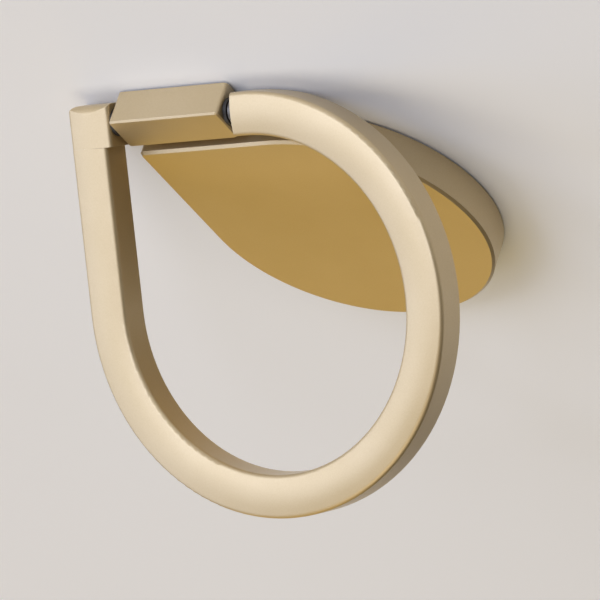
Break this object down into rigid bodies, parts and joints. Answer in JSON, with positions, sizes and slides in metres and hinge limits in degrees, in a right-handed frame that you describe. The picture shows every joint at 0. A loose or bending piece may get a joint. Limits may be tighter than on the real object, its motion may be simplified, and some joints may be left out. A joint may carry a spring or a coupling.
{
  "type": "phone ring holder",
  "caption": "Stick-on teardrop base plate with a crowned teardrop finger ring on a friction hinge, which folds flat around the plate and serves as a grip or a stand.",
  "frame": {"origin": "centre of the base plate's round, on the adhesive face that sticks to the surface", "axes": "+X along the hinge from the ring's corner ear towards its top bar, +Y from the plate towards the hinge, +Z out of the surface through the plate's front"},
  "size_m": [0.0308, 0.0269, 0.0251],
  "materials": {
    "gold_anodised": "bead-blasted and champagne gold anodised, satin",
    "foam_tape": "matte foam tape",
    "pin_steel": "ground",
    "acetal": "black moulded acetal",
    "spring_steel": "oiled dark spring steel"
  },
  "bodies": {
    "base": {"base_plate": "gold_anodised", "adhesive_pad": "foam_tape"},
    "swing_ring": {"ring": "gold_anodised", "hinge_pin": "pin_steel", "ear_washer": "acetal", "bar_washer": "acetal", "disc_spring_inner": "spring_steel", "disc_spring_outer": "spring_steel"}
  },
  "joints": [
    {"name": "ring_hinge", "type": "hinge", "parent": "base", "child": "swing_ring", "pos_m": [0, 0.01395, 0.00175], "axis": [-1, 0, 0], "range_deg": [-51, 129]}
  ]
}
